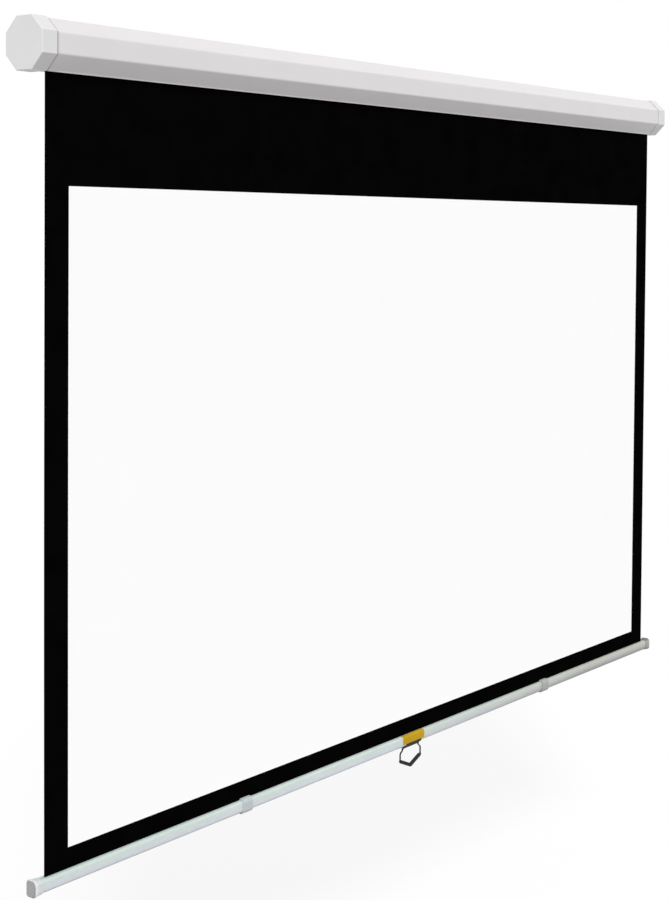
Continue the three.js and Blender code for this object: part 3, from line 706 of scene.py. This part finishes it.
# The case paint carries painted shade at its joints with the end caps.
CASE_PAINT = PowderCoat("case_paint", (0.705, 0.68, 0.688), 0.42, 0.012)
CAP_PLASTIC = Moulding("cap_plastic", (0.705, 0.705, 0.705), 0.5, 0.012)
STEEL = Plated("steel", (0.36, 0.36, 0.375), 0.36, crystal=3 * MM, streak=(0.2, 1, 1))
ZINC = Plated("zinc", (0.56, 0.57, 0.58), 0.42)
BRASS = Plated("brass", (0.62, 0.42, 0.18), 0.36, crystal=3 * MM)
NYLON = Moulding("nylon", (0.74, 0.70, 0.6), 0.55)
VIEW_FABRIC = CoatedCloth("view_fabric", (0.975, 0.975, 0.975), 0.85, 0.004, depth=0.015 * MM)
MASK_FABRIC = CoatedCloth("mask_fabric", (0.0016, 0.0016, 0.0016), 0.9, 0.3)
BACK_FABRIC = CoatedCloth("back_fabric", (0.0035, 0.0035, 0.0035), 0.8, 0.2, shine=0.04)
# Its height stops are painted light and shade: lighter and greener at the top, darker along the lower edge; the
# right set is painted shade, darker all over.
BAR_PAINT = BarLacquer(
    "bar_paint", (0.63, 0.70, 0.69), 0.38, 0.02,
    left=(
        (-11 * MM, (0.49, 0.44, 0.50)),
        (-9.2 * MM, (0.59, 0.53, 0.60)),
        (-8 * MM, (0.98, 0.90, 1.00)),
        (-3 * MM, (1.00, 0.97, 1.04)),
        (2 * MM, (1.00, 1.00, 1.00)),
        (6 * MM, (0.98, 1.00, 0.97)),
        (11 * MM, (0.88, 0.93, 0.88)),
    ),
    right=(
        (-11 * MM, (0.28, 0.24, 0.26)),
        (-9.2 * MM, (0.36, 0.31, 0.33)),
        (-7 * MM, (0.48, 0.41, 0.43)),
        (-4.5 * MM, (0.50, 0.43, 0.44)),
        (-2.5 * MM, (0.62, 0.54, 0.54)),
        (0.5 * MM, (0.70, 0.63, 0.60)),
        (3 * MM, (0.80, 0.73, 0.69)),
        (11 * MM, (0.71, 0.68, 0.61)),
    ),
)
# Its height stops are painted light and shade, darker at the top and bottom edges and much darker at the
# right-hand cap; the caps also carry painted shade from rim to bar.
BAR_PLASTIC = CapMoulding(
    "bar_plastic", (0.79, 0.80, 0.815), 0.5, 0.015,
    left=(
        (-14 * MM, (0.50, 0.50, 0.51)),
        (-11 * MM, (0.62, 0.62, 0.63)),
        (-9 * MM, (1.00, 1.00, 1.00)),
        (10 * MM, (1.00, 1.00, 1.00)),
        (14 * MM, (0.88, 0.88, 0.88)),
    ),
    right=(
        (-14 * MM, (0.12, 0.11, 0.11)),
        (-11 * MM, (0.20, 0.18, 0.18)),
        (-8 * MM, (0.45, 0.42, 0.41)),
        (8 * MM, (0.53, 0.51, 0.48)),
        (11.5 * MM, (0.24, 0.23, 0.22)),
        (14 * MM, (0.16, 0.15, 0.15)),
    ),
)
PLUG_PLASTIC = Moulding("plug_plastic", (0.335, 0.338, 0.34), 0.55, 0.03)
LABEL = LabelStock("label", (0.51, 0.32, 0.0065), 0.5, 0.08)
# Its height stops are painted shade: darker along the lower edge, and darker all over at the right-hand collar.
COLLAR_PLASTIC = BarMoulding(
    "collar_plastic", (0.50, 0.54, 0.575), 0.5, 0.02,
    left=(
        (-14 * MM, (0.42, 0.40, 0.42)),
        (-12 * MM, (0.55, 0.53, 0.55)),
        (-10.5 * MM, (1.00, 1.00, 1.00)),
        (14 * MM, (1.00, 1.02, 1.00)),
    ),
    right=(
        (-14 * MM, (0.15, 0.14, 0.14)),
        (-12 * MM, (0.25, 0.24, 0.24)),
        (-9.5 * MM, (0.60, 0.55, 0.50)),
        (14 * MM, (0.72, 0.66, 0.61)),
    ),
)
HANDLE_PLASTIC = Moulding("handle_plastic", (0.011, 0.011, 0.013), 0.5, 0.15, shine=0.16)

NODE_FINISHES: dict[str, Finish] = {
    finish.slot: finish
    for finish in (
        CASE_PAINT, CAP_PLASTIC, STEEL, ZINC, BRASS, NYLON, VIEW_FABRIC, MASK_FABRIC,
        BACK_FABRIC, BAR_PAINT, BAR_PLASTIC, PLUG_PLASTIC, LABEL, COLLAR_PLASTIC, HANDLE_PLASTIC,
    )
}


# Mesh helpers


def new_piece(name: str, mesh: bmesh.types.BMesh) -> bpy.types.Object:
    """Turns a bmesh into a shown object.

    Args:
        name: The object's name.
        mesh: The mesh, which is freed.

    Returns:
        The new object.
    """
    bmesh.ops.recalc_face_normals(mesh, faces=mesh.faces)
    data = bpy.data.meshes.new(name)
    mesh.to_mesh(data)
    mesh.free()
    piece = bpy.data.objects.new(name, data)
    bpy.context.scene.collection.objects.link(piece)
    return piece


def smooth(piece: bpy.types.Object, degrees: float = 32.0) -> None:
    """Shades round stretches smooth and keeps flats flat.

    Args:
        piece: A mesh object.
        degrees: Edges sharper than this stay crisp.
    """
    piece.data.shade_smooth()
    piece.data.set_sharp_from_angle(angle=math.radians(degrees))
    weigh = piece.modifiers.new("flat_normals", "WEIGHTED_NORMAL")
    weigh.keep_sharp = True


def eased(
    piece: bpy.types.Object, width: float, degrees: float = 30.0, segments: int = 3
) -> None:
    """Rounds a piece's crisp edges.

    Args:
        piece: A mesh object.
        width: Width of the rounding in metres.
        degrees: Edges flatter than this stay as they are.
        segments: Facets of the rounding.
    """
    bevel = piece.modifiers.new("eased_edges", "BEVEL")
    bevel.width = width
    bevel.segments = segments
    bevel.limit_method = "ANGLE"
    bevel.angle_limit = math.radians(degrees)
    bevel.harden_normals = False


def ease_node(name: str, width: float) -> None:
    """Rounds the crisp edges of one of the frame's nodes.

    Args:
        name: The node's name.
        width: Width of the rounding in metres.
    """
    node = frame["nodes"][name]
    eased(node, width)
    node.modifiers.move(len(node.modifiers) - 1, 0)
    LOG.info("eased the edges of %s", name)


def even_steps(low: float, high: float, count: int) -> list[float]:
    """Evenly spaced values from low to high.

    Args:
        low: First value.
        high: Last value.
        count: Number of steps.

    Returns:
        The values.
    """
    return [low + (high - low) * i / count for i in range(count + 1)]


def merged_steps(values: list[float], low: float, high: float) -> list[float]:
    """Adds two values to a row of steps, in place of the steps next to them.

    Args:
        values: The steps.
        low: First value to add.
        high: Second value to add.

    Returns:
        The new row.
    """
    spacing = (values[-1] - values[0]) / (len(values) - 1)
    kept = [v for v in values if min(abs(v - low), abs(v - high)) > spacing / 2]
    for end in (values[0], values[-1]):
        if end not in kept:
            kept.append(end)
    return sorted({*kept, low, high})


# Sub-assemblies


class Hardware:
    """The frame's own pieces, which keep their shape and get their finish here."""

    def dress(self) -> None:
        """Gives every shown node the finish that its record slot names."""
        slots = {row["node"]: row["material_slot"] for row in frame["record"]["subparts"]}
        for name, node in frame["nodes"].items():
            NODE_FINISHES[slots[name]].dress(node)
            smooth(node)
            LOG.info("dressed %s in %s", name, slots[name])


@dataclass
class Casing:
    """Octagonal shell and its two moulded caps."""

    cap_edge: float = 0.7 * MM

    def dress(self) -> None:
        """Eases the caps' edges."""
        for side in Side:
            ease_node(f"{side.value}_end_cap", self.cap_edge)


@dataclass
class WeightBar:
    """The bar's mouldings: end caps with their plugs, and stop collars."""

    cap_edge: float = 0.4 * MM
    plug_edge: float = 0.35 * MM
    collar_edge: float = 0.4 * MM

    def dress(self) -> None:
        """Eases the mouldings' edges."""
        for side in Side:
            ease_node(f"{side.value}_bar_cap", self.cap_edge)
            ease_node(f"{side.value}_bar_plug", self.plug_edge)
            ease_node(f"{side.value}_stop_collar", self.collar_edge)


@dataclass
class Handle:
    """Pull handle and the bracket that carries it."""

    handle_edge: float = 0.4 * MM
    bracket_edge: float = 0.5 * MM

    def dress(self) -> None:
        """Eases the edges that a hand meets."""
        ease_node("pull_handle", self.handle_edge)
        ease_node("handle_bracket", self.bracket_edge)


@dataclass
class Layer:
    """One layer of the hanging sheet and the frame's node that it stands for."""

    name: str
    node: str
    finish: Finish
    hole: str | None = None
    parked_foot: float | None = None

    @property
    def flat(self) -> tuple[float, float]:
        """Width and length that the layer was cut to."""
        low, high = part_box(self.node)
        return (high.x - low.x, high.z - low.z)

    def left_open(self, x: float, z: float) -> bool:
        """Whether a place lies where the layer is cut away.

        Args:
            x: Place across the layer.
            z: Place up the layer.

        Returns:
            True inside the layer's hole.
        """
        if not self.hole:
            return False
        low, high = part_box(self.hole)
        return low.x < x < high.x and low.z < z < high.z


@dataclass
class Fabric:
    """The hanging sheet: white picture layer, black border and black backing."""

    columns: int = 56
    rows: int = 48
    parked_foot: float = -30 * MM
    ripple: float = 1.1 * MM
    ripple_length: float = 0.47
    ripple_drift: float = 2.1
    ripple_share: float = 0.45
    swell_stretch: float = 2.7
    swell_start: float = 0.8
    swell_share: float = 0.55
    held_rise: float = 1.3
    foot: Vector = field(init=False)
    top: Vector = field(init=False)

    def __post_init__(self) -> None:
        """Takes the sheet's lowest and highest corner from the frame."""
        self.foot, self.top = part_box("black_backing")

    def sway(self, x: float, share: float) -> float:
        """How far the sheet stands from its plane.

        Args:
            x: Place across the sheet.
            share: From 0 at the roller to 1 at the bar.

        Returns:
            The offset towards the wall.
        """
        free = math.sin(math.pi * min(1.0, max(0.0, share))) ** self.held_rise
        wave = math.sin(2 * math.pi * x / self.ripple_length + self.ripple_drift * share)
        swell_length = self.swell_stretch * self.ripple_length
        swell = math.sin(2 * math.pi * x / swell_length + self.swell_start)
        return self.ripple * free * (self.ripple_share * wave + self.swell_share * swell)

    def grid(self, layer: Layer) -> tuple[list[float], list[float]]:
        """Where a layer's points lie, with the edges of its hole among them.

        Args:
            layer: Which layer.

        Returns:
            The places across the layer and the places up it.
        """
        low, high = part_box(layer.node)
        xs = even_steps(low.x, high.x, self.columns)
        zs = even_steps(low.z, high.z, self.rows)
        if layer.hole:
            low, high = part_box(layer.hole)
            xs = merged_steps(xs, low.x, high.x)
            zs = merged_steps(zs, low.z, high.z)
        return xs, zs

    def skin(self, layer: Layer) -> bmesh.types.BMesh:
        """The layer as a thin closed solid.

        Args:
            layer: Which layer.

        Returns:
            The mesh.
        """
        low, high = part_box(layer.node)
        top, foot = self.top.z, self.foot.z
        xs, zs = self.grid(layer)
        mesh = bmesh.new()
        points = {}
        for i, x in enumerate(xs):
            for j, z in enumerate(zs):
                away = self.sway(x, (top - z) / (top - foot))
                points[i, j] = [mesh.verts.new((x, y + away, z)) for y in (low.y, high.y)]
        shown = {
            (i, j)
            for i in range(len(xs) - 1)
            for j in range(len(zs) - 1)
            if not layer.left_open((xs[i] + xs[i + 1]) / 2, (zs[j] + zs[j + 1]) / 2)
        }
        for i, j in shown:
            cell = [(i, j), (i + 1, j), (i + 1, j + 1), (i, j + 1)]
            mesh.faces.new([points[corner][0] for corner in cell])
            mesh.faces.new([points[corner][1] for corner in reversed(cell)])
            beside = [(i, j - 1), (i + 1, j), (i, j + 1), (i - 1, j)]
            for k, neighbour in enumerate(beside):
                if neighbour not in shown:
                    a, b = cell[k], cell[(k + 1) % 4]
                    mesh.faces.new((*points[a], *reversed(points[b])))
        loose = [vert for vert in mesh.verts if not vert.link_faces]
        bmesh.ops.delete(mesh, geom=loose, context="VERTS")
        return mesh

    def hang(self, layer: Layer) -> bpy.types.Object:
        """Makes one layer, dresses it and hangs it on the casing; how it would gather towards the roller as the
        bar rises is worked out but not applied.

        Args:
            layer: Which layer.

        Returns:
            The new object, riding on the casing.
        """
        piece = new_piece(layer.name, self.skin(layer))
        layer.finish.dress(piece)
        smooth(piece)
        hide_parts(layer.node)
        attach(piece, "casing")
        self.gather(piece, layer)
        LOG.info("hung %s", layer.name)
        return piece

    def gather(self, piece: bpy.types.Object, layer: Layer) -> None:
        """Works out how a layer would gather towards the roller as the bar rises, without applying it.

        For a layer with a parked foot, the worked-out share would let its foot rise a little faster than
        the border round it, so that the raised screen would show black cloth alone. The piece gets its
        own copy of its mesh.

        Args:
            piece: The layer's object.
            layer: Which layer.
        """
        lift = next(joint for joint in frame["joints"] if joint["name"] == "bar_lift")
        keep = 1 - lift["range_m"][1] / (self.top.z - self.foot.z)
        anchor = self.top.copy()
        if layer.parked_foot is not None:
            low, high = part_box(layer.node)
            head = anchor.z + (high.z - anchor.z) * keep
            keep = (head - layer.parked_foot) / (high.z - low.z)
            anchor.z = (head - keep * high.z) / (1 - keep)
        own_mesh(piece)

    def build(self) -> None:
        back = Layer("fabric_backing", "black_backing", BACK_FABRIC)
        mask = Layer("fabric_border", "masking_border", MASK_FABRIC, hole="viewing_surface")
        view = Layer(
            "fabric_picture", "viewing_surface", VIEW_FABRIC, parked_foot=self.parked_foot
        )
        backing = self.hang(back)
        border = self.hang(mask)
        picture = self.hang(view)


# Studio


def seen(tree: bpy.types.NodeTree) -> bpy.types.NodeSocket:
    """Marks the rays that show a backdrop: the camera's own, and those of reflections and glass.

    Args:
        tree: The node tree of a world or a backdrop's material.

    Returns:
        The socket that is 1 for such a ray and 0 for any other.
    """
    path = tree.nodes.new("ShaderNodeLightPath")
    marked = path.outputs["Is Camera Ray"]
    for kind in ("Is Glossy Ray", "Is Transmission Ray"):
        either = tree.nodes.new("ShaderNodeMath")
        either.operation = "MAXIMUM"
        tree.links.new(marked, either.inputs[0])
        tree.links.new(path.outputs[kind], either.inputs[1])
        marked = either.outputs["Value"]
    return marked


def mixed(
    tree: bpy.types.NodeTree,
    share: bpy.types.NodeSocket,
    first: bpy.types.NodeSocket,
    second: bpy.types.NodeSocket,
) -> bpy.types.NodeSocket:
    """Mixes two shaders.

    Args:
        tree: The node tree of both.
        share: Share of the second shader.
        first: The first shader.
        second: The second shader.

    Returns:
        The socket with the mixed shader.
    """
    node = tree.nodes.new("ShaderNodeMixShader")
    tree.links.new(share, node.inputs["Fac"])
    tree.links.new(first, node.inputs[1])
    tree.links.new(second, node.inputs[2])
    return node.outputs["Shader"]


def grey(level: float) -> tuple[float, float, float, float]:
    """The opaque grey of a level, as colour sockets take it."""
    return (level, level, level, 1)


@dataclass
class Studio:
    """Camera, lamp, world and floor."""

    eye: Vector = Vector((-2.7205, -1.9958, -0.2851))
    yaw: float = math.radians(51.74)
    pitch: float = math.radians(-1.977)
    roll: float = math.radians(0.395)
    focal: float = 1666.6
    centre_row: float = 289.1
    frame_height: int = 900
    near: float = 0.05
    ambient: float = 0.60
    key: Vector = Vector((-0.40, -0.39, 0.43))
    key_softness: float = math.radians(12)
    floor_drop: float = 0.55
    floor_reach: float = 9.0
    floor_bounce: float = 0.58
    floor_shown: float = 0.97
    floor_glow: float = 0.85

    def camera(self) -> None:
        """Sets the camera where the photograph was taken from."""
        ahead = Vector((
            math.sin(self.yaw) * math.cos(self.pitch),
            math.cos(self.yaw) * math.cos(self.pitch),
            math.sin(self.pitch),
        ))
        level = Vector((math.cos(self.yaw), -math.sin(self.yaw), 0))
        upright = level.cross(ahead)
        right = level * math.cos(self.roll) + upright * math.sin(self.roll)
        up = upright * math.cos(self.roll) - level * math.sin(self.roll)
        data = bpy.data.cameras.new("camera")
        data.lens = data.sensor_width * self.focal / self.frame_height
        data.shift_y = (self.centre_row - self.frame_height / 2) / self.frame_height
        data.clip_start = self.near
        camera = bpy.data.objects.new("camera", data)
        turn = Matrix((right, up, -ahead)).transposed()
        camera.matrix_world = Matrix.Translation(self.eye) @ turn.to_4x4()
        bpy.context.scene.collection.objects.link(camera)
        bpy.context.scene.camera = camera
        LOG.info("camera at %s", tuple(round(v, 3) for v in self.eye))

    def lamp(self) -> None:
        """One broad soft lamp from the upper left in front."""
        data = bpy.data.lights.new("key_light", "SUN")
        data.energy = self.key.length * math.pi
        data.angle = self.key_softness
        lamp = bpy.data.objects.new("key_light", data)
        lamp.rotation_mode = "QUATERNION"
        lamp.rotation_quaternion = self.key.to_track_quat("Z", "Y")
        bpy.context.scene.collection.objects.link(lamp)

    def world(self) -> None:
        """Even light all round, which looks plain white."""
        world = bpy.data.worlds.new("studio")
        bpy.context.scene.world = world
        world.use_nodes = True
        tree = world.node_tree
        tree.nodes.clear()
        light = tree.nodes.new("ShaderNodeBackground")
        light.inputs["Color"].default_value = grey(1)
        light.inputs["Strength"].default_value = self.ambient
        white = tree.nodes.new("ShaderNodeBackground")
        white.inputs["Color"].default_value = grey(1)
        output = tree.nodes.new("ShaderNodeOutputWorld")
        shown = mixed(tree, seen(tree), light.outputs["Background"], white.outputs["Background"])
        tree.links.new(shown, output.inputs["Surface"])

    def floor_finish(self) -> bpy.types.Material:
        """Makes the floor's finish, nearly white with its shadows, and clear from below.

        Returns:
            The material.
        """
        material = bpy.data.materials.new("floor")
        material.use_nodes = True
        tree = material.node_tree
        tree.nodes.clear()
        shown = seen(tree)
        tone = tree.nodes.new("ShaderNodeMixRGB")
        tone.inputs["Color1"].default_value = grey(self.floor_bounce)
        tone.inputs["Color2"].default_value = grey(self.floor_shown)
        tree.links.new(shown, tone.inputs["Fac"])
        pale = tree.nodes.new("ShaderNodeBsdfDiffuse")
        tree.links.new(tone.outputs["Color"], pale.inputs["Color"])
        glow = tree.nodes.new("ShaderNodeMath")
        glow.operation = "MULTIPLY"
        glow.inputs[1].default_value = self.floor_glow
        tree.links.new(shown, glow.inputs[0])
        white = tree.nodes.new("ShaderNodeEmission")
        above = mixed(tree, glow.outputs["Value"], pale.outputs["BSDF"], white.outputs["Emission"])
        under = tree.nodes.new("ShaderNodeNewGeometry").outputs["Backfacing"]
        clear = tree.nodes.new("ShaderNodeBsdfTransparent")
        sided = mixed(tree, under, above, clear.outputs["BSDF"])
        output = tree.nodes.new("ShaderNodeOutputMaterial")
        tree.links.new(sided, output.inputs["Surface"])
        return material

    def floor(self) -> None:
        """Plain pale floor well below the hanging screen."""
        low, _ = CAD_BOX
        reach, height = self.floor_reach, low.z - self.floor_drop
        corners = ((-reach, -reach), (reach, -reach), (reach, reach), (-reach, reach))
        mesh = bmesh.new()
        mesh.faces.new([mesh.verts.new((x, y, height)) for x, y in corners])
        piece = new_piece("floor", mesh)
        piece.data.materials.append(self.floor_finish())

    def build(self) -> None:
        """Sets up the whole studio."""
        bpy.context.scene.view_settings.view_transform = "Standard"
        self.camera()
        self.lamp()
        self.world()
        self.floor()


def main() -> None:
    """Builds the studio and dresses the screen, sub-assembly by sub-assembly."""
    logging.basicConfig(level=logging.INFO, format="%(name)s: %(message)s")
    Studio().build()
    Hardware().dress()
    Casing().dress()
    WeightBar().dress()
    Handle().dress()
    Fabric().build()


if __name__ == "__main__":
    main()
